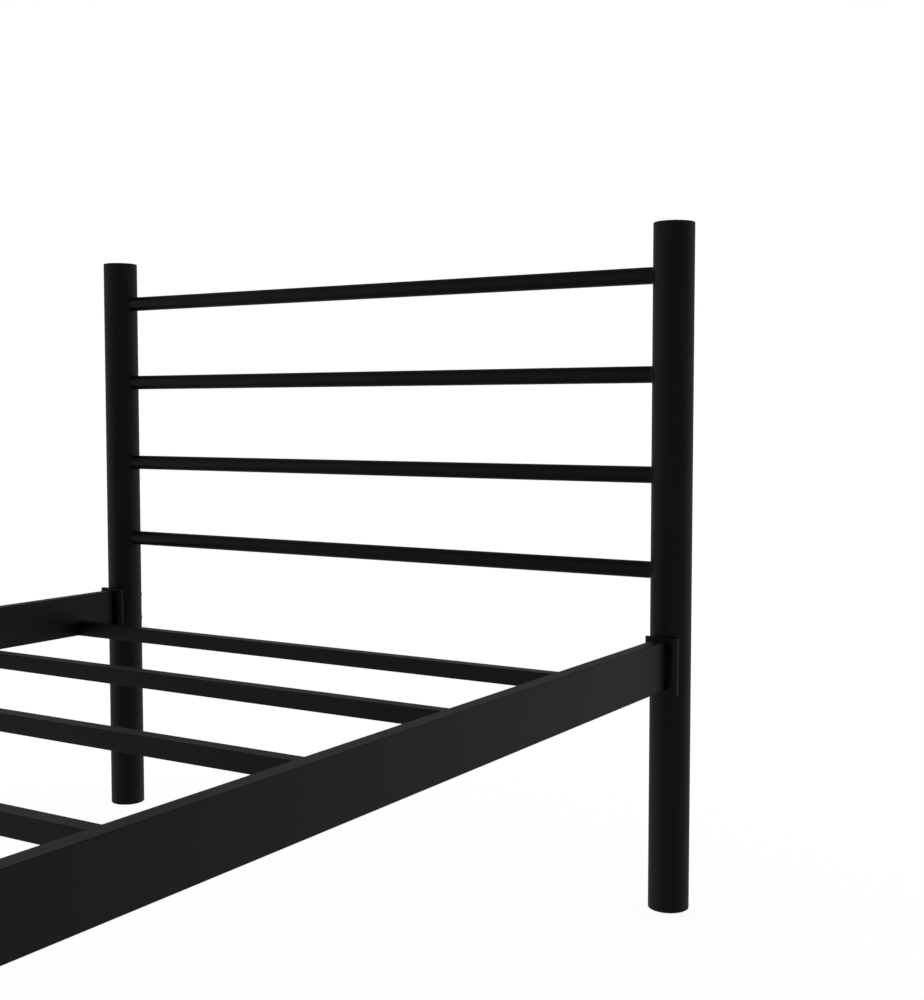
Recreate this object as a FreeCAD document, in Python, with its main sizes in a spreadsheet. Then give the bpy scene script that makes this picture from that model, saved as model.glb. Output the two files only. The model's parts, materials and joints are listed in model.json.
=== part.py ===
import FreeCAD, Part
import os
import Sketcher

# A single metal bed frame of round posts, round bars and flat rails, all sizes in millimetres.
# The bed stands on Z = 0 with its long side along Y, the headboard towards +Y, and the origin
# on the floor midway between the four posts.

V = FreeCAD.Vector

DIMENSIONS = {
    # posts, measured between their centre lines
    "post_spacing_across": 930.0,
    "post_spacing_along": 1965.0,
    "post_diameter": 50.8,
    "post_wall": 1.5,
    "head_post_height": 850.0,
    "foot_post_height": 486.0,
    # push-in top caps and floor glides
    "cap_thickness": 2.0,
    "glide_thickness": 3.0,
    "plug_depth": 12.0,
    "plug_wall": 2.0,
    "plug_clearance": 0.1,
    "plug_edge_radius": 1.2,
    # round bars between the posts, with the heights of their centre lines
    "bar_diameter": 21.0,
    "bar_wall": 1.2,
    "head_bar_first": 423.2,
    "head_bar_second": 541.6,
    "head_bar_third": 665.7,
    "head_bar_fourth": 787.1,
    "foot_bar_lower": 301.8,
    "foot_bar_upper": 423.2,
    # flat side rails, centred on the posts
    "rail_width": 18.0,
    "rail_height": 60.0,
    "rail_wall": 1.2,
    "rail_underside": 281.0,
    "rail_corner_radius": 1.0,
    # slats, flush with the underside of the rails
    "slat_width": 18.0,
    "slat_height": 20.0,
    "slat_wall": 1.2,
    "slat_corner_radius": 0.8,
    "slat_end_setback": 98.0,
    # pressed plate on each rail end, its turned-back flanges hollowed to seat on the round post
    "plate_width": 43.0,
    "plate_height": 70.0,
    "plate_depth": 8.5,
    "plate_wall": 3.5,
    "plate_underside": 274.5,
    "plate_bend_radius": 7.0,
    "plate_rim_radius": 0.8,
    "plate_seat_depth": 0.4,
    # two bolts through each post, from its outer side into nuts inside the rail end
    "bolt_diameter": 7.9,
    "bolt_length": 70.0,
    "bolt_hole": 8.5,
    "bolt_low": 293.0,
    "bolt_high": 329.0,
    "head_diameter": 14.0,
    "head_thickness": 4.4,
    "head_dome_radius": 8.6,
    "socket_across_corners": 5.8,
    "socket_depth": 2.8,
    "washer_diameter": 18.0,
    "washer_thickness": 2.5,
    "washer_reach": 2.0,
    "nut_across_flats": 13.0,
    "nut_thickness": 6.5,
    "nut_bore": 8.0,
}
SLAT_COUNT = 8
NODE_FOLDER = "parts"

# How close counts as touching and how straight as parallel, and the size that sketches start at.
TOUCHING = 0.01
PARALLEL = 0.999
START_SIZE = 10.0

# Each corner's name, the side of the centre line that it is on, the end of the bed that it is
# at, and the turn that makes its inner side face the middle of the bed.
CORNERS = [
    ("head_left", -1, 1, 0),
    ("head_right", 1, 1, 0),
    ("foot_left", -1, -1, 180),
    ("foot_right", 1, -1, 180),
]

# Distances from a post's centre line, along the bed, written for the spreadsheet's values.
PLATE_BACK = "(dims.post_diameter / 2 - dims.plate_seat_depth)"
PLATE_FRONT = f"({PLATE_BACK} + dims.plate_depth)"
WASHER_SEAT = "(dims.post_diameter / 2 + dims.washer_thickness)"
RAIL_LENGTH = f"dims.post_spacing_along - 2 * {PLATE_FRONT}"
SLAT_LENGTH = "dims.post_spacing_across - dims.rail_width"

BOLT_LEVELS = ("bolt_low", "bolt_high")

doc = FreeCAD.newDocument("bed_frame")
nodes = []


def fill_sheet():
    """Writes every driving dimension into the sheet, one row each."""
    sheet = doc.addObject("Spreadsheet::Sheet", "dims")
    for row, (name, value) in enumerate(DIMENSIONS.items(), start=1):
        sheet.set(f"A{row}", name)
        sheet.set(f"B{row}", str(value))
        sheet.setAlias(f"B{row}", name)
    doc.recompute()
    return sheet


def bind(item, **expressions):
    """Binds an object's sizes to the sheet."""
    for size, expression in expressions.items():
        item.setExpression(size, expression)
    return item


def place(item, x="0", y="0", z="0", rotation=FreeCAD.Rotation()):
    """Gives an object its rotation, and a position that follows the sheet."""
    item.Placement = FreeCAD.Placement(V(), rotation)
    for axis, expression in (("x", x), ("y", y), ("z", z)):
        item.setExpression(f".Placement.Base.{axis}", expression)
    return item


def finish_node(item, name):
    """Names a sub-part and adds it to the ones that are written out."""
    item.Label = name
    nodes.append(item)
    return item


def cylinder(name, diameter, length):
    """A cylinder that stands on its local origin."""
    return bind(doc.addObject("Part::Cylinder", name), Radius=f"({diameter}) / 2", Height=length)


def cut(name, base, tool):
    """One solid with another taken away from it."""
    result = doc.addObject("Part::Cut", name)
    result.Base = base
    result.Tool = tool
    return result


def fuse(name, *solids):
    """Several solids joined into one, or several cutters used together."""
    result = doc.addObject("Part::MultiFuse", name)
    result.Shapes = list(solids)
    return result


def group(name, solids):
    """Separate solids that share one node."""
    result = doc.addObject("Part::Compound", name)
    result.Links = solids
    return result


def origin_plane(body, role):
    """One of a body's own three origin planes."""
    return next(item for item in body.Origin.OriginFeatures if item.Role == role)


def new_sketch(body, name, role):
    """An empty sketch on one of its body's origin planes."""
    sketch = body.newObject("Sketcher::SketchObject", name)
    sketch.AttachmentSupport = (origin_plane(body, role), [""])
    sketch.MapMode = "FlatFace"
    return sketch


def draw_rectangle(sketch, tag, wide, tall):
    """A rectangle centred on the sketch's origin."""
    first = sketch.GeometryCount
    half = START_SIZE / 2
    corners = [V(-half, -half, 0), V(half, -half, 0), V(half, half, 0), V(-half, half, 0)]
    for start, end in zip(corners, corners[1:] + corners[:1]):
        sketch.addGeometry(Part.LineSegment(start, end), False)
    for side in range(4):
        following = first + (side + 1) % 4
        sketch.addConstraint(Sketcher.Constraint("Coincident", first + side, 2, following, 1))
    for side, direction in enumerate(("Horizontal", "Vertical", "Horizontal", "Vertical")):
        sketch.addConstraint(Sketcher.Constraint(direction, first + side))
    sketch.addConstraint(Sketcher.Constraint("Symmetric", first, 1, first + 1, 2, -1, 1))
    width = Sketcher.Constraint("DistanceX", first, 1, first, 2, START_SIZE)
    name_size(sketch, f"{tag}_wide", width, wide)
    height = Sketcher.Constraint("DistanceY", first + 1, 1, first + 1, 2, START_SIZE)
    name_size(sketch, f"{tag}_tall", height, tall)


def draw_circle(sketch, tag, diameter):
    """A circle on the sketch's origin."""
    circle = sketch.addGeometry(Part.Circle(V(0, 0, 0), V(0, 0, 1), START_SIZE / 2), False)
    sketch.addConstraint(Sketcher.Constraint("Coincident", circle, 3, -1, 1))
    across = Sketcher.Constraint("Diameter", circle, START_SIZE)
    name_size(sketch, f"{tag}_diameter", across, diameter)


def name_size(sketch, name, constraint, expression):
    """Adds a dimension to a sketch, names it and binds it to the sheet."""
    index = sketch.addConstraint(constraint)
    sketch.renameConstraint(index, name)
    sketch.setExpression(f"Constraints.{name}", expression)


def pad(body, name, sketch, length, both_ways=False, downwards=False):
    """Pads a sketch one way, or evenly to both sides of its plane."""
    feature = body.newObject("PartDesign::Pad", name)
    feature.Profile = sketch
    bind(feature, Length=length)
    feature.SideType = "Symmetric" if both_ways else "One side"
    feature.Reversed = downwards
    body.Tip = feature
    doc.recompute()
    return feature


def round_edges(body, name, feature, radius, wanted):
    """Rounds those of a feature's edges that the test picks out."""
    names = [f"Edge{i}" for i, edge in enumerate(feature.Shape.Edges, start=1) if wanted(edge)]
    fillet = body.newObject("PartDesign::Fillet", name)
    fillet.Base = (feature, names)
    bind(fillet, Radius=radius)
    body.Tip = fillet
    return fillet


def flat_tube(name, plane, direction, sizes, length):
    """A rectangular tube with rounded long edges, centred on its local origin."""
    wide, tall, wall, corner = (f"dims.{size}" for size in sizes)
    body = doc.addObject("PartDesign::Body", name)
    section = new_sketch(body, f"{name}_section", plane)
    draw_rectangle(section, "outer", wide, tall)
    draw_rectangle(section, "inner", f"{wide} - 2 * {wall}", f"{tall} - 2 * {wall}")
    tube = pad(body, f"{name}_tube", section, length, both_ways=True)
    reach = tube.Shape.BoundBox

    def is_outer_long_edge(edge):
        middle = edge.CenterOfMass - reach.Center
        along = abs(edge.tangentAt(edge.FirstParameter).dot(direction)) > PARALLEL
        offsets = [abs(middle.x), abs(middle.y), abs(middle.z)]
        skins = [reach.XLength / 2, reach.YLength / 2, reach.ZLength / 2]
        on_skin = sum(abs(offset - skin) < TOUCHING for offset, skin in zip(offsets, skins))
        return along and on_skin == 2

    round_edges(body, f"{name}_corners", tube, corner, is_outer_long_edge)
    return body


# Along the bed towards its middle, in a head corner's own frame, for anything made along Z.
INWARD = FreeCAD.Rotation(V(1, 0, 0), 90)


def aimed_cylinder(name, diameter, start, length, height):
    """A cylinder along the bed at one bolt height, running inwards from a distance outside."""
    return place(cylinder(name, diameter, length), y=start, z=height, rotation=INWARD)


def bolt_holes(name, start, length):
    """The cutter for both bolts of a corner."""
    drills = []
    for level in BOLT_LEVELS:
        drills.append(aimed_cylinder(f"{name}_{level}", "dims.bolt_hole", start, length, f"dims.{level}"))
    return fuse(name, *drills)


def put_at_corner(item, side, end, turn, z="0"):
    """Stands a piece on its post's centre line, its inner side facing the middle of the bed."""
    return place(
        item,
        x=f"{side} * dims.post_spacing_across / 2",
        y=f"{end} * dims.post_spacing_along / 2",
        z=z,
        rotation=FreeCAD.Rotation(V(0, 0, 1), turn),
    )


def make_post(corner, side, end, turn):
    """A round tube from glide to cap, drilled through for its two bolts."""
    name = f"{corner[:4]}_post_{corner[5:]}"
    length = f"dims.{corner[:4]}_post_height - dims.cap_thickness - dims.glide_thickness"
    skin = place(cylinder(f"{name}_skin", "dims.post_diameter", length), z="dims.glide_thickness")
    bore = cylinder(f"{name}_bore", "dims.post_diameter - 2 * dims.post_wall", "dims.head_post_height")
    holes = bolt_holes(f"{name}_holes", "dims.post_diameter", "2 * dims.post_diameter")
    post = cut(name, skin, fuse(f"{name}_cutters", bore, holes))
    return finish_node(put_at_corner(post, side, end, turn), name)


def make_plug(name, thickness):
    """A moulded disc with a hollow plug under it and a rounded rim."""
    body = doc.addObject("PartDesign::Body", name)
    disc_sketch = new_sketch(body, f"{name}_disc_outline", "XY_Plane")
    draw_circle(disc_sketch, "rim", "dims.post_diameter")
    pad(body, f"{name}_disc", disc_sketch, thickness)
    plug_sketch = new_sketch(body, f"{name}_plug_outline", "XY_Plane")
    outside = "dims.post_diameter - 2 * dims.post_wall - 2 * dims.plug_clearance"
    draw_circle(plug_sketch, "outside", outside)
    draw_circle(plug_sketch, "inside", f"{outside} - 2 * dims.plug_wall")
    plug = pad(body, f"{name}_plug", plug_sketch, "dims.plug_depth", downwards=True)
    top = plug.Shape.BoundBox.ZMax

    def is_rim(edge):
        return edge.BoundBox.ZMin > top - TOUCHING

    round_edges(body, f"{name}_rim", plug, "dims.plug_edge_radius", is_rim)
    return body


def make_cap(corner, side, end):
    """The cap pushed into a post's top."""
    name = f"{corner[:4]}_cap_{corner[5:]}"
    cap = make_plug(name, "dims.cap_thickness")
    height = f"dims.{corner[:4]}_post_height - dims.cap_thickness"
    return finish_node(put_at_corner(cap, side, end, 0, z=height), name)


def make_glide(corner, side, end):
    """The floor glide pushed into a post's foot, the same moulding turned over."""
    name = f"{corner[:4]}_glide_{corner[5:]}"
    glide = make_plug(name, "dims.glide_thickness")
    put_at_corner(glide, side, end, 0, z="dims.glide_thickness")
    glide.Placement.Rotation = FreeCAD.Rotation(V(1, 0, 0), 180)
    return finish_node(glide, name)


def make_bar(name, height, end):
    """A round tube across the bed, its ends coped to sit on the round posts."""
    along_x = FreeCAD.Rotation(V(0, 1, 0), 90)
    span = "dims.post_spacing_across"
    half_span = f"{span} / 2"
    skin = place(cylinder(f"{name}_skin", "dims.bar_diameter", span), x=f"-{half_span}", rotation=along_x)
    bore_size = "dims.bar_diameter - 2 * dims.bar_wall"
    bore = place(cylinder(f"{name}_bore", bore_size, span), x=f"-{half_span}", rotation=along_x)
    copes = []
    for tag, sign in (("left", "-"), ("right", "")):
        cope = cylinder(f"{name}_cope_{tag}", "dims.post_diameter", "2 * dims.bar_diameter")
        copes.append(place(cope, x=f"{sign}{half_span}", z="-dims.bar_diameter"))
    bar = cut(name, skin, fuse(f"{name}_cutters", bore, *copes))
    place(bar, y=f"{end} * dims.post_spacing_along / 2", z=f"dims.{height}")
    return finish_node(bar, name)


def make_side_rail(name, side):
    """The flat tube along one side of the bed, between its two end plates."""
    sizes = ("rail_width", "rail_height", "rail_wall", "rail_corner_radius")
    rail = flat_tube(name, "XZ_Plane", V(0, 1, 0), sizes, RAIL_LENGTH)
    place(rail, x=f"{side} * dims.post_spacing_across / 2", z="dims.rail_underside + dims.rail_height / 2")
    return finish_node(rail, name)


def make_slat(number):
    """One cross slat between the two side rails, counted from the head."""
    name = f"slat_{number}"
    sizes = ("slat_width", "slat_height", "slat_wall", "slat_corner_radius")
    slat = flat_tube(name, "YZ_Plane", V(1, 0, 0), sizes, SLAT_LENGTH)
    run = "(dims.post_spacing_along - 2 * dims.slat_end_setback)"
    share = (number - 1) / (SLAT_COUNT - 1)
    place(slat, y=f"{run} * (0.5 - {share})", z="dims.rail_underside + dims.slat_height / 2")
    return finish_node(slat, name)


def make_end_plate(corner, side, end, turn):
    """The pressed plate on a rail's end, all four edges turned back and hollowed for the post."""
    name = f"{corner}_end_plate"
    blank = doc.addObject("PartDesign::Body", f"{name}_blank")
    outline = new_sketch(blank, f"{name}_outline", "XZ_Plane")
    draw_rectangle(outline, "plate", "dims.plate_width", "dims.plate_height")
    pressing = pad(blank, f"{name}_pressing", outline, "dims.plate_depth", both_ways=True)
    front = pressing.Shape.BoundBox.YMin
    back = pressing.Shape.BoundBox.YMax

    def is_front_upright(edge):
        return edge.BoundBox.YMax < front + TOUCHING and edge.BoundBox.XLength < TOUCHING

    def is_level_rim(edge):
        return edge.BoundBox.ZLength < TOUCHING and edge.BoundBox.YMin < back - TOUCHING

    bends = round_edges(blank, f"{name}_bends", pressing, "dims.plate_bend_radius", is_front_upright)
    doc.recompute()
    round_edges(blank, f"{name}_rims", bends, "dims.plate_rim_radius", is_level_rim)
    middle = "dims.plate_underside + dims.plate_height / 2"
    place(blank, y=f"-{PLATE_BACK} - dims.plate_depth / 2", z=middle)
    hollow = bind(
        doc.addObject("Part::Box", f"{name}_hollow"),
        Length="dims.plate_width - 2 * dims.plate_wall",
        Width="dims.plate_depth",
        Height="dims.plate_height - 2 * dims.plate_wall",
    )
    place(
        hollow,
        x="dims.plate_wall - dims.plate_width / 2",
        y=f"dims.plate_wall - {PLATE_FRONT}",
        z="dims.plate_underside + dims.plate_wall",
    )
    seat = cylinder(f"{name}_seat", "dims.post_diameter", "dims.head_post_height")
    holes = bolt_holes(f"{name}_holes", "0", "dims.post_diameter")
    plate = cut(name, blank, fuse(f"{name}_cutters", hollow, seat, holes))
    return finish_node(put_at_corner(plate, side, end, turn), name)


def make_bolt(name, height):
    """One domed socket-head bolt, its head on the post's outer side."""
    top = f"({WASHER_SEAT} + dims.head_thickness)"
    shank = aimed_cylinder(f"{name}_shank", "dims.bolt_diameter", WASHER_SEAT, "dims.bolt_length", height)
    disc = aimed_cylinder(f"{name}_disc", "dims.head_diameter", top, "dims.head_thickness", height)
    dome = bind(doc.addObject("Part::Sphere", f"{name}_dome"), Radius="dims.head_dome_radius")
    place(dome, y=f"{top} - dims.head_dome_radius", z=height)
    crown = doc.addObject("Part::Common", f"{name}_crown")
    crown.Base = disc
    crown.Tool = dome
    socket = hexagon(f"{name}_socket", "dims.socket_across_corners / 2", "dims.socket_depth")
    place(socket, y=top, z=height, rotation=INWARD)
    return cut(name, fuse(f"{name}_solid", shank, crown), socket)


def make_washer(name, height):
    """One washer, flat under its bolt's head and hollowed to the post's curve."""
    thick = "dims.washer_thickness + dims.washer_reach"
    disc = aimed_cylinder(f"{name}_disc", "dims.washer_diameter", WASHER_SEAT, thick, height)
    reach = "dims.post_diameter"
    hole = aimed_cylinder(f"{name}_hole", "dims.bolt_hole", reach, reach, height)
    curve = cylinder(f"{name}_curve", "dims.post_diameter", "dims.head_post_height")
    return cut(name, disc, fuse(f"{name}_cutters", hole, curve))


def make_nut(name, height):
    """One hexagon nut on the end plate, inside the hollow rail."""
    blank = hexagon(f"{name}_blank", "dims.nut_across_flats / sqrt(3)", "dims.nut_thickness")
    corners_up = FreeCAD.Rotation(V(0, 0, 1), 90)
    place(blank, y=f"-{PLATE_FRONT}", z=height, rotation=INWARD.multiply(corners_up))
    bore = aimed_cylinder(f"{name}_bore", "dims.nut_bore", "0", "dims.bolt_length", height)
    return cut(name, blank, bore)


def hexagon(name, radius, length):
    """A hexagonal bar that stands on its local origin."""
    bar = doc.addObject("Part::Prism", name)
    bar.Polygon = 6
    return bind(bar, Circumradius=radius, Height=length)


def make_pair(kind, make_one, corner, side, end, turn):
    """The upper and lower one of a corner's fasteners, as one node."""
    name = f"{corner}_{kind}"
    pair = [make_one(f"{name}_{level}", f"dims.{level}") for level in BOLT_LEVELS]
    return finish_node(put_at_corner(group(name, pair), side, end, turn), name)


def check_model():
    """Stops the script if anything failed to build."""
    for item in doc.Objects:
        if "Invalid" in item.State or "Error" in item.State:
            raise RuntimeError(f"{item.Label} did not build: {item.State}")
    for node in nodes:
        if node.Shape.isNull() or not node.Shape.isValid() or not node.Shape.Solids:
            raise RuntimeError(f"{node.Label} has no valid solid")


def write_nodes():
    """Writes one STEP file for each sub-part."""
    os.makedirs(NODE_FOLDER, exist_ok=True)
    for node in nodes:
        node.Shape.exportStep(os.path.join(NODE_FOLDER, f"{node.Label}.step"))
        print(f"{node.Label:32s} solids {len(node.Shape.Solids)}  volume {node.Shape.Volume:12.1f}")


fill_sheet()

for corner, side, end, turn in CORNERS:
    make_post(corner, side, end, turn)
    make_cap(corner, side, end)
    make_glide(corner, side, end)
    make_end_plate(corner, side, end, turn)
    make_pair("bolts", make_bolt, corner, side, end, turn)
    make_pair("crescent_washers", make_washer, corner, side, end, turn)
    make_pair("weld_nuts", make_nut, corner, side, end, turn)

for order in ("first", "second", "third", "fourth"):
    make_bar(f"head_bar_{order}", f"head_bar_{order}", 1)
for order in ("lower", "upper"):
    make_bar(f"foot_bar_{order}", f"foot_bar_{order}", -1)

make_side_rail("side_rail_left", -1)
make_side_rail("side_rail_right", 1)
for slat_number in range(1, SLAT_COUNT + 1):
    make_slat(slat_number)

doc.recompute()
check_model()
write_nodes()
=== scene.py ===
import json
import math

import bmesh
import bpy
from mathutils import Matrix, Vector


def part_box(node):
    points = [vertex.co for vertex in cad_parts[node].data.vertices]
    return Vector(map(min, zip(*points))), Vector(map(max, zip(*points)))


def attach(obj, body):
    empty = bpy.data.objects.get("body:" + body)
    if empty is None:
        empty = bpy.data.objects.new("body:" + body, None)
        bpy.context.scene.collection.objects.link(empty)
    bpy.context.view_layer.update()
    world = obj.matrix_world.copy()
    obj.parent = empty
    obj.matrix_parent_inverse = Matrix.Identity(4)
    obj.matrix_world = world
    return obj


# A single bed frame in welded steel tube, powder coated satin black and bolted at its four corners.
# Everything is in metres, with the floor at Z = 0 and the headboard at the +Y end.

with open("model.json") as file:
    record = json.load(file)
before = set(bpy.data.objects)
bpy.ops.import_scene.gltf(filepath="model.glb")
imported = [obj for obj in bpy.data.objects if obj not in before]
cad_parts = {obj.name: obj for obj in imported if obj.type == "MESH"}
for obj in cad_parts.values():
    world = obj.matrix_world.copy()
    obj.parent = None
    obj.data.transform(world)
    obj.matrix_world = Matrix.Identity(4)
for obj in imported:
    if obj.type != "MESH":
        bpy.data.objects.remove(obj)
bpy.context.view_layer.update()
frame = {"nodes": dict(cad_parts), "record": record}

HEAD_BARS = ["head_bar_first", "head_bar_second", "head_bar_third", "head_bar_fourth"]
FOOT_BARS = ["foot_bar_lower", "foot_bar_upper"]
SIDES = {"left": -1, "right": 1}
ENDS = {"head": 1, "foot": -1}
SLATS = sorted(name for name in frame["nodes"] if name.startswith("slat_"))

# Colours and roughness changes shared by several finishes
DUST_COLOUR = (0.03, 0.029, 0.027)
RUBBED_STEEL = (0.3, 0.3, 0.3)
ROUGHNESS_DRIFT = 0.05
STAIN_ROUGHNESS = 0.12
DUST_ROUGHNESS = 0.3

# How closely the patterns in the finishes repeat, in features per metre
DRIFTS_PER_METRE = 9.0
EDGE_PATCHES_PER_METRE = 60.0
DUST_DRIFTS_PER_METRE = 22.0
DUST_SPECKS_PER_METRE = 1400.0

# Between which values each pattern goes from nothing to full
EDGE_TURN = (0.02, 0.22)
EDGE_PATCHES = (0.35, 0.7)
LEVEL_FACES = (0.6, 0.98)
DUST_DRIFTS = (0.4, 0.75)
DUST_SPECKS = (0.66, 0.74)
MOTTLE = (0.45, 0.8)

# The least share of an edge's thin coating and painted highlight that shows between its patches, and
# the drifts' share of the dust
EDGE_LEAST = 0.35
DRIFT_SHARE = 0.6

# How high the surface texture stands, and how far in from an edge a small fastener is rubbed
COATING_HEIGHT = 0.00003
PLATING_HEIGHT = 0.00001
FASTENER_REACH = 0.0006
PLATING_PEEL = {"Peel per metre": 900.0, "Grain per metre": 5200.0}

# Welds under the coating, and the rounded long edges of the tubes that they follow
BAR_WELD = 0.0016
FLAT_WELD = 0.0012
WELD_STEP = 0.0006
RIPPLE_PITCH = 0.0026
RIPPLE_DEPTH = 0.07
WELD_FACETS = 5
WELD_HOLLOW = 0.45
SLAT_CORNER = 0.0008
RAIL_CORNER = 0.001
SHARP_ANGLE = math.radians(50)

# The room: what the eye sees behind the bed, and the dimmer walls that the coating mirrors,
# a little brighter below the horizon than above it
BACKDROP = 1.0
LOW_GLOW = 0.28
HIGH_GLOW = 0.24
HORIZON_BAND = (0.02, 0.2)
# The share of that glow lost towards the ceiling and the ground, and over which heights it goes
STEEP_SHARE = 0.6
STEEP_BAND = (0.4, 0.8)
# The side of the room that is darker, the share of the glow lost there, and how it comes on
DARK_SIDE = Vector((0.67, -0.74, 0.0))
DARK_SHARE = 0.46
DARK_BAND = (0.05, 0.75)
# The floor's own shade, and the light on it, which its glow makes up to the backdrop's white
FLOOR_SHADE = 0.8
FLOOR_LIGHT = 0.125
FLOOR_HALF_SIZE = 20.0

# The camera, measured from the middle of the headboard's foot
CAMERA_RIGHT = 1.15347
CAMERA_IN_FRONT = 1.61626
CAMERA_HEIGHT = 0.61716
CAMERA_TURN = 0.55049
CAMERA_DIP = 0.06094
FILM_SIZE = 36.0
LENS = 50.832
VIEW_DISTANCE = 100.0


# ---- shader groups -------------------------------------------------------------------------


def new_group(name, inputs, outputs):
    """An empty shader group with its sockets, and its input and output nodes."""
    group = bpy.data.node_groups.new(name, "ShaderNodeTree")
    for label, kind, value in inputs:
        socket = group.interface.new_socket(label, in_out="INPUT", socket_type=kind)
        socket.default_value = value
    for label, kind in outputs:
        group.interface.new_socket(label, in_out="OUTPUT", socket_type=kind)
    return group, group.nodes.new("NodeGroupInput"), group.nodes.new("NodeGroupOutput")


def add_node(tree, kind, links=None, **settings):
    """A node with its settings, and its inputs given as values or as other nodes' sockets."""
    node = tree.nodes.new(kind)
    for name, value in settings.items():
        setattr(node, name, value)
    for socket, value in (links or {}).items():
        if isinstance(value, bpy.types.NodeSocket):
            tree.links.new(value, node.inputs[socket])
        else:
            node.inputs[socket].default_value = value
    return node


def math_node(tree, operation, first, second=0.0, third=0.0, clamp=False):
    """The result of one sum."""
    links = {0: first, 1: second, 2: third}
    return add_node(tree, "ShaderNodeMath", links, operation=operation, use_clamp=clamp).outputs[0]


def stretch(tree, value, band):
    """A value spread so that the low end of a band becomes 0 and its high end 1."""
    links = {"Value": value, "From Min": band[0], "From Max": band[1]}
    return add_node(tree, "ShaderNodeMapRange", links, clamp=True).outputs["Result"]


def noise(tree, position, scale, detail=2.0, roughness=0.5):
    """Soft noise whose features are about one over the scale in size."""
    links = {"Vector": position, "Scale": scale, "Detail": detail, "Roughness": roughness}
    return add_node(tree, "ShaderNodeTexNoise", links).outputs["Fac"]


def orange_peel_group():
    """The slow swell of melted powder with a fine grain on it, as a height and a slow drift."""
    inputs = [
        ("Peel per metre", "NodeSocketFloat", 420.0),
        ("Grain per metre", "NodeSocketFloat", 2600.0),
        ("Grain share", "NodeSocketFloat", 0.25),
    ]
    outputs = [("Height", "NodeSocketFloat"), ("Drift", "NodeSocketFloat")]
    group, given, result = new_group("orange_peel", inputs, outputs)
    position = add_node(group, "ShaderNodeTexCoord").outputs["Object"]
    peel = noise(group, position, given.outputs["Peel per metre"])
    grain = noise(group, position, given.outputs["Grain per metre"], detail=1.0)
    fine = math_node(group, "MULTIPLY", grain, given.outputs["Grain share"])
    drift = noise(group, position, DRIFTS_PER_METRE, detail=3.0, roughness=0.6)
    group.links.new(math_node(group, "ADD", peel, fine), result.inputs["Height"])
    group.links.new(drift, result.inputs["Drift"])
    return group


def thin_edge_and_highlight_group():
    """A mask along sharp edges, broken up a little along its length: where the coating draws thin, and
    on the coated frame and plastic also a painted highlight.
    """
    inputs = [("Reach", "NodeSocketFloat", 0.0012), ("Strength", "NodeSocketFloat", 1.0)]
    group, given, result = new_group("thin_edge_and_highlight", inputs, [("Mask", "NodeSocketFloat")])
    rounded = add_node(group, "ShaderNodeBevel", {"Radius": given.outputs["Reach"]}, samples=4)
    face = add_node(group, "ShaderNodeNewGeometry")
    links = {0: rounded.outputs["Normal"], 1: face.outputs["Normal"]}
    facing = add_node(group, "ShaderNodeVectorMath", links, operation="DOT_PRODUCT")
    away = math_node(group, "SUBTRACT", 1.0, facing.outputs["Value"])
    turned = stretch(group, away, EDGE_TURN)
    position = add_node(group, "ShaderNodeTexCoord").outputs["Object"]
    pattern = noise(group, position, EDGE_PATCHES_PER_METRE, detail=4.0, roughness=0.7)
    patches = math_node(group, "ADD", EDGE_LEAST, stretch(group, pattern, EDGE_PATCHES))
    broken = math_node(group, "MULTIPLY", turned, patches)
    mask = math_node(group, "MULTIPLY", broken, given.outputs["Strength"], clamp=True)
    group.links.new(mask, result.inputs["Mask"])
    return group


def settled_dust_group():
    """A trace of house dust on whatever faces up, in soft drifts with a few specks."""
    inputs = [("Amount", "NodeSocketFloat", 0.5)]
    group, given, result = new_group("settled_dust", inputs, [("Mask", "NodeSocketFloat")])
    face = add_node(group, "ShaderNodeNewGeometry")
    upward = add_node(group, "ShaderNodeSeparateXYZ", {0: face.outputs["Normal"]}).outputs["Z"]
    level = stretch(group, upward, LEVEL_FACES)
    position = add_node(group, "ShaderNodeTexCoord").outputs["Object"]
    slow = noise(group, position, DUST_DRIFTS_PER_METRE, detail=5.0, roughness=0.65)
    quick = noise(group, position, DUST_SPECKS_PER_METRE, detail=1.0)
    drifts = math_node(group, "MULTIPLY", stretch(group, slow, DUST_DRIFTS), DRIFT_SHARE)
    both = math_node(group, "ADD", drifts, stretch(group, quick, DUST_SPECKS), clamp=True)
    resting = math_node(group, "MULTIPLY", both, level)
    mask = math_node(group, "MULTIPLY", resting, given.outputs["Amount"])
    group.links.new(mask, result.inputs["Mask"])
    return group


ORANGE_PEEL = orange_peel_group()
# Edge mask: thin coating or worn plating, and on coated parts a painted highlight along the edges
THIN_EDGE_AND_HIGHLIGHT = thin_edge_and_highlight_group()
SETTLED_DUST = settled_dust_group()


# ---- finishes ------------------------------------------------------------------------------


def place_group(tree, group, links=None):
    """A shader group placed in a material with its own values."""
    node = tree.nodes.new("ShaderNodeGroup")
    node.node_tree = group
    for socket, value in (links or {}).items():
        node.inputs[socket].default_value = value
    return node


def new_material(name):
    """An empty material, its Principled BSDF wired to the output."""
    material = bpy.data.materials.new(name)
    material.use_nodes = True
    return material, material.node_tree, material.node_tree.nodes["Principled BSDF"]


def mix_colour(tree, factor, plain, other):
    """One colour turning into another as the factor rises."""
    node = add_node(tree, "ShaderNodeMix", data_type="RGBA")
    tree.links.new(factor, node.inputs["Factor"])
    for socket, colour in (("A", plain), ("B", other)):
        target = next(s for s in node.inputs if s.name == socket and s.type == "RGBA")
        if isinstance(colour, bpy.types.NodeSocket):
            tree.links.new(colour, target)
        else:
            target.default_value = (*colour, 1.0)
    return next(s for s in node.outputs if s.type == "RGBA")


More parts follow.
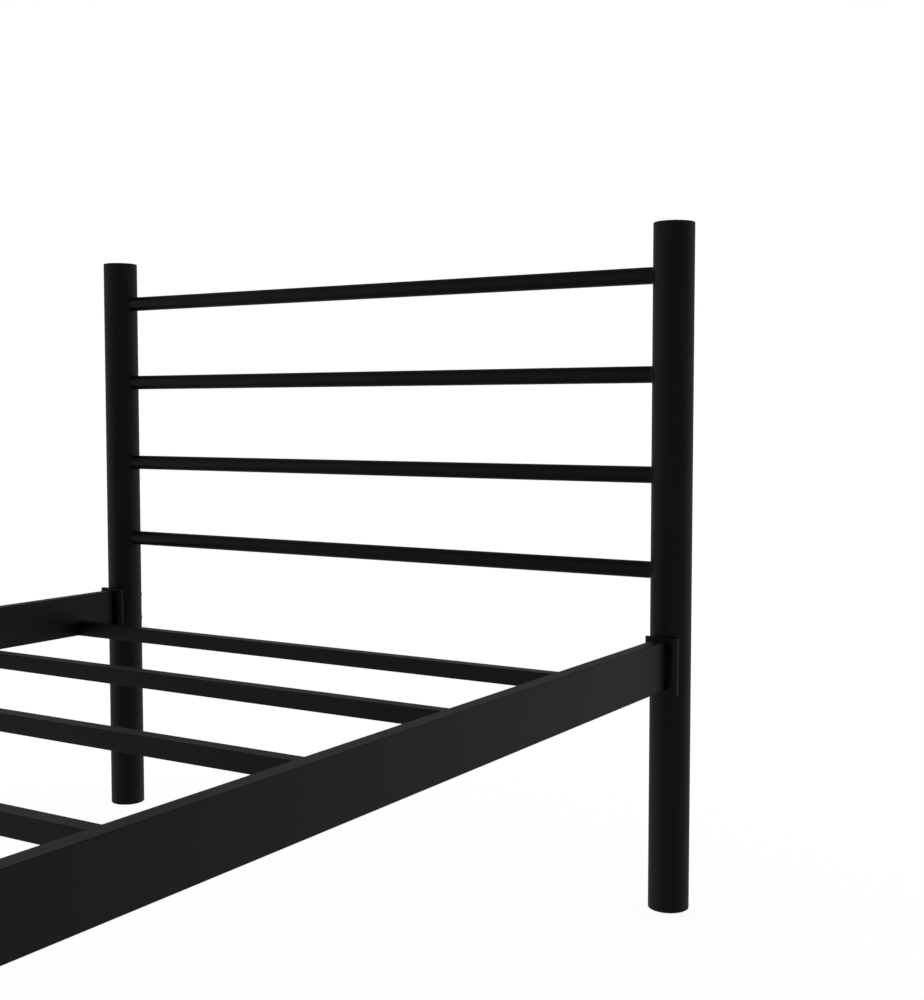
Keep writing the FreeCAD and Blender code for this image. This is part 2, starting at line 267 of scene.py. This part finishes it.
def coated_finish(name, colour, edge_colour, roughness, peel, dust):
    """A coating or moulding with peel, edges lightened partly by thin coating and partly as a painted
    highlight, and a trace of dust.
    """
    material, tree, shader = new_material(name)
    surface = place_group(tree, ORANGE_PEEL, peel)
    edge = place_group(tree, THIN_EDGE_AND_HIGHLIGHT)
    dusty = place_group(tree, SETTLED_DUST, {"Amount": dust})
    # The lighter edge colour is partly the coating drawn thin and partly a painted highlight along the
    # edges.
    worn_and_highlit = mix_colour(tree, edge.outputs["Mask"], colour, edge_colour)
    shown = mix_colour(tree, dusty.outputs["Mask"], worn_and_highlit, DUST_COLOUR)
    tree.links.new(shown, shader.inputs["Base Color"])
    smoothest = roughness - ROUGHNESS_DRIFT / 2
    drift = math_node(tree, "MULTIPLY_ADD", surface.outputs["Drift"], ROUGHNESS_DRIFT, smoothest)
    matt = math_node(tree, "MULTIPLY_ADD", dusty.outputs["Mask"], DUST_ROUGHNESS, drift)
    tree.links.new(matt, shader.inputs["Roughness"])
    links = {"Height": surface.outputs["Height"], "Distance": COATING_HEIGHT, "Strength": 1.0}
    bump = add_node(tree, "ShaderNodeBump", links)
    tree.links.new(bump.outputs["Normal"], shader.inputs["Normal"])
    return material


def plated_finish(name, colour, stain, roughness):
    """Zinc plating on a small fastener: metal with a faint mottle and rubbed edges."""
    material, tree, shader = new_material(name)
    shader.inputs["Metallic"].default_value = 1.0
    surface = place_group(tree, ORANGE_PEEL, PLATING_PEEL)
    edge = place_group(tree, THIN_EDGE_AND_HIGHLIGHT, {"Reach": FASTENER_REACH})
    mottle = stretch(tree, surface.outputs["Height"], MOTTLE)
    plated = mix_colour(tree, mottle, colour, stain)
    rubbed = mix_colour(tree, edge.outputs["Mask"], plated, RUBBED_STEEL)
    tree.links.new(rubbed, shader.inputs["Base Color"])
    rough = math_node(tree, "MULTIPLY_ADD", mottle, STAIN_ROUGHNESS, roughness)
    tree.links.new(rough, shader.inputs["Roughness"])
    links = {"Height": surface.outputs["Height"], "Distance": PLATING_HEIGHT, "Strength": 1.0}
    bump = add_node(tree, "ShaderNodeBump", links)
    tree.links.new(bump.outputs["Normal"], shader.inputs["Normal"])
    return material


FINISHES = {
    "frame_paint": coated_finish(
        "satin_black_powder_coat",
        colour=(0.0032, 0.0032, 0.0034),
        # A lighter edge colour: partly thin coating, partly a painted highlight along the edges
        edge_colour=(0.009, 0.009, 0.0092),
        roughness=0.42,
        peel={"Peel per metre": 420.0, "Grain per metre": 2600.0, "Grain share": 0.2},
        dust=0.25,
    ),
    "black_plastic": coated_finish(
        "black_moulded_plastic",
        colour=(0.004, 0.004, 0.004),
        # A lighter edge colour: partly thin coating, partly a painted highlight along the edges
        edge_colour=(0.008, 0.008, 0.008),
        roughness=0.42,
        peel={"Peel per metre": 1300.0, "Grain per metre": 4200.0, "Grain share": 0.6},
        dust=0.35,
    ),
    "bolt_steel": plated_finish(
        "black_zinc_plate",
        colour=(0.035, 0.035, 0.037),
        stain=(0.02, 0.02, 0.022),
        roughness=0.32,
    ),
    "nut_steel": plated_finish(
        "bright_zinc_plate",
        colour=(0.55, 0.55, 0.53),
        stain=(0.42, 0.43, 0.42),
        roughness=0.28,
    ),
}


def finish_frame():
    """Gives every carried-over part the finish of its slot."""
    for part in frame["record"]["subparts"]:
        node = frame["nodes"][part["node"]]
        node.data.materials.clear()
        node.data.materials.append(FINISHES[part["material_slot"]])


# ---- welds ---------------------------------------------------------------------------------


def round_joint(bar, post, side):
    """The line where a round bar meets a round post, and the feet of the weld on each of them."""
    bar_low, bar_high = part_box(bar)
    post_low, post_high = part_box(post)
    axis = (bar_low + bar_high) / 2
    bar_radius = (bar_high.z - bar_low.z) / 2
    post_middle = (post_low.x + post_high.x) / 2
    post_radius = (post_high.x - post_low.x) / 2

    def on_post(radius, angle):
        across = radius * math.cos(angle)
        depth = math.sqrt(post_radius**2 - across**2)
        return Vector((post_middle - side * depth, axis.y + across, axis.z + radius * math.sin(angle)))

    count = round(math.tau * bar_radius / WELD_STEP)
    stations = []
    for i in range(count):
        angle = math.tau * i / count
        root = on_post(bar_radius, angle)
        bar_foot = root - Vector((side * BAR_WELD, 0, 0))
        stations.append((bar_foot, root, on_post(bar_radius + BAR_WELD, angle)))
    return stations


def fill_in(start, end):
    """Points along a straight line, no further apart than one weld step."""
    count = math.ceil((end - start).length / WELD_STEP)
    return [start.lerp(end, i / count) for i in range(count + 1)]


def level_joint(start, end, along, outward):
    """Weld stations where a tube's level edge meets a flat face, along being the way it runs."""
    stations = []
    for root in fill_in(start, end):
        stations.append((root + FLAT_WELD * along, root, root + FLAT_WELD * outward))
    return stations


def slat_joint(slat, side):
    """The weld along a slat's top, where it meets the inner face of a side rail."""
    low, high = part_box(slat)
    face = high.x if side > 0 else low.x
    start = Vector((face, low.y + SLAT_CORNER, high.z))
    end = Vector((face, high.y - SLAT_CORNER, high.z))
    return level_joint(start, end, Vector((-side, 0, 0)), Vector((0, 0, 1)))


def rail_joint(rail, end, up):
    """The weld along the top or the underside of a side rail's end, where it meets its plate."""
    low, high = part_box(rail)
    face = high.y if end > 0 else low.y
    level = high.z if up > 0 else low.z
    first = Vector((low.x + RAIL_CORNER, face, level))
    last = Vector((high.x - RAIL_CORNER, face, level))
    return level_joint(first, last, Vector((0, -end, 0)), Vector((0, 0, up)))


def weld_profile(station, ripple):
    """Points over the weld from foot to foot, slightly hollow, and back by way of its root."""
    first, root, last = station
    chord = (first + last) / 2
    crest = root.lerp(chord, WELD_HOLLOW + ripple)
    points = []
    for step in range(WELD_FACETS + 1):
        t = step / WELD_FACETS
        points.append((1 - t) ** 2 * first + 2 * t * (1 - t) * crest + t**2 * last)
    return points + [root]


def add_weld(vertices, faces, stations, closed):
    """Adds one weld's surface to the lists, closed on itself or capped at its two ends."""
    base = len(vertices)
    travelled = 0.0
    for i, station in enumerate(stations):
        if i:
            travelled += (station[1] - stations[i - 1][1]).length
        ripple = RIPPLE_DEPTH * math.sin(math.tau * travelled / RIPPLE_PITCH)
        vertices.extend(weld_profile(station, ripple))
    ring = WELD_FACETS + 2
    count = len(stations)
    for i in range(count if closed else count - 1):
        here = base + i * ring
        there = base + (i + 1) % count * ring
        for k in range(ring):
            after = (k + 1) % ring
            faces.append((here + k, here + after, there + after, there + k))
    if not closed:
        last = base + (count - 1) * ring
        faces.append(tuple(base + k for k in reversed(range(ring))))
        faces.append(tuple(last + k for k in range(ring)))


def make_welds(name, joints, closed=True):
    """Makes one piece that holds all the welds on one tube."""
    vertices, faces = [], []
    for stations in joints:
        add_weld(vertices, faces, stations, closed)
    mesh = bpy.data.meshes.new(name)
    mesh.from_pydata(vertices, [], faces)
    mesh.validate()
    piece = bpy.data.objects.new(name, mesh)
    bpy.context.scene.collection.objects.link(piece)
    turn_outward(mesh)
    mesh.shade_smooth()
    mesh.set_sharp_from_angle(angle=SHARP_ANGLE)
    mesh.materials.append(FINISHES["frame_paint"])
    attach(piece, "root")


def turn_outward(mesh):
    """Makes every face of a closed mesh look outwards."""
    editable = bmesh.new()
    editable.from_mesh(mesh)
    bmesh.ops.recalc_face_normals(editable, faces=editable.faces)
    editable.to_mesh(mesh)
    editable.free()


def weld_everything():
    """All the welds of the bed."""
    for end, bars in (("head", HEAD_BARS), ("foot", FOOT_BARS)):
        for bar in bars:
            joints = [round_joint(bar, f"{end}_post_{s}", side) for s, side in SIDES.items()]
            make_welds(f"{bar}_welds", joints)
    for slat in SLATS:
        joints = [slat_joint(slat, side) for side in SIDES.values()]
        make_welds(f"{slat}_welds", joints, closed=False)
    for side in SIDES:
        rail = f"side_rail_{side}"
        joints = [rail_joint(rail, end, up) for end in ENDS.values() for up in (-1, 1)]
        make_welds(f"{rail}_welds", joints, closed=False)


# ---- room and camera -----------------------------------------------------------------------


def make_room():
    """A white backdrop to look at, with dimmer walls for the coating to mirror."""
    world = bpy.data.worlds.new("studio")
    world.use_nodes = True
    tree = world.node_tree
    tree.nodes.clear()
    outward = add_node(tree, "ShaderNodeTexCoord").outputs["Generated"]
    height = add_node(tree, "ShaderNodeSeparateXYZ", {0: outward}).outputs["Z"]
    upper = stretch(tree, height, HORIZON_BAND)
    walls = math_node(tree, "MULTIPLY_ADD", upper, HIGH_GLOW - LOW_GLOW, LOW_GLOW)
    steep = stretch(tree, math_node(tree, "ABSOLUTE", height), STEEP_BAND)
    level = math_node(tree, "MULTIPLY_ADD", steep, -STEEP_SHARE, 1.0)
    links = {0: outward, 1: DARK_SIDE}
    towards = add_node(tree, "ShaderNodeVectorMath", links, operation="DOT_PRODUCT").outputs["Value"]
    darker = stretch(tree, towards, DARK_BAND)
    shade = math_node(tree, "MULTIPLY_ADD", darker, -DARK_SHARE, 1.0)
    glow = math_node(tree, "MULTIPLY", walls, math_node(tree, "MULTIPLY", level, shade))
    mirrored = add_node(tree, "ShaderNodeBackground", {"Strength": glow})
    seen = add_node(tree, "ShaderNodeBackground", {"Strength": BACKDROP})
    for background in (seen, mirrored):
        background.inputs["Color"].default_value = (1.0, 1.0, 1.0, 1.0)
    ray = add_node(tree, "ShaderNodeLightPath")
    links = {0: ray.outputs["Is Camera Ray"], 1: mirrored.outputs[0], 2: seen.outputs[0]}
    either = add_node(tree, "ShaderNodeMixShader", links)
    add_node(tree, "ShaderNodeOutputWorld", {"Surface": either.outputs[0]})
    bpy.context.scene.world = world
    bpy.context.scene.view_settings.view_transform = "Standard"


def make_floor():
    """A plain white floor that runs off into the backdrop."""
    half = FLOOR_HALF_SIZE
    corners = [(-half, -half, 0), (half, -half, 0), (half, half, 0), (-half, half, 0)]
    mesh = bpy.data.meshes.new("studio_floor")
    mesh.from_pydata(corners, [], [(0, 1, 2, 3)])
    floor = bpy.data.objects.new("studio_floor", mesh)
    bpy.context.scene.collection.objects.link(floor)
    material = bpy.data.materials.new("white_floor")
    material.use_nodes = True
    tree = material.node_tree
    tree.nodes.clear()
    shade = (FLOOR_SHADE, FLOOR_SHADE, FLOOR_SHADE, 1.0)
    paint = add_node(tree, "ShaderNodeBsdfDiffuse", {"Color": shade})
    lift = BACKDROP - FLOOR_SHADE * FLOOR_LIGHT
    glow = add_node(tree, "ShaderNodeEmission", {"Strength": lift})
    lit = add_node(tree, "ShaderNodeAddShader", {0: paint.outputs[0], 1: glow.outputs[0]})
    add_node(tree, "ShaderNodeOutputMaterial", {"Surface": lit.outputs[0]})
    mesh.materials.append(material)
    floor.visible_glossy = False
    floor.visible_diffuse = False
    floor.visible_shadow = False


def make_camera():
    """A camera at seat height on the bed's right side, looking across it to the headboard."""
    low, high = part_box("head_post_right")
    camera_data = bpy.data.cameras.new("camera")
    camera = bpy.data.objects.new("camera", camera_data)
    bpy.context.scene.collection.objects.link(camera)
    camera.location = (CAMERA_RIGHT, (low.y + high.y) / 2 - CAMERA_IN_FRONT, CAMERA_HEIGHT)
    camera.rotation_euler = (math.pi / 2 - CAMERA_DIP, 0.0, CAMERA_TURN)
    camera_data.sensor_fit = "VERTICAL"
    camera_data.sensor_height = FILM_SIZE
    camera_data.lens = LENS
    camera_data.clip_end = VIEW_DISTANCE
    bpy.context.scene.camera = camera


finish_frame()
weld_everything()
make_room()
make_floor()
make_camera()
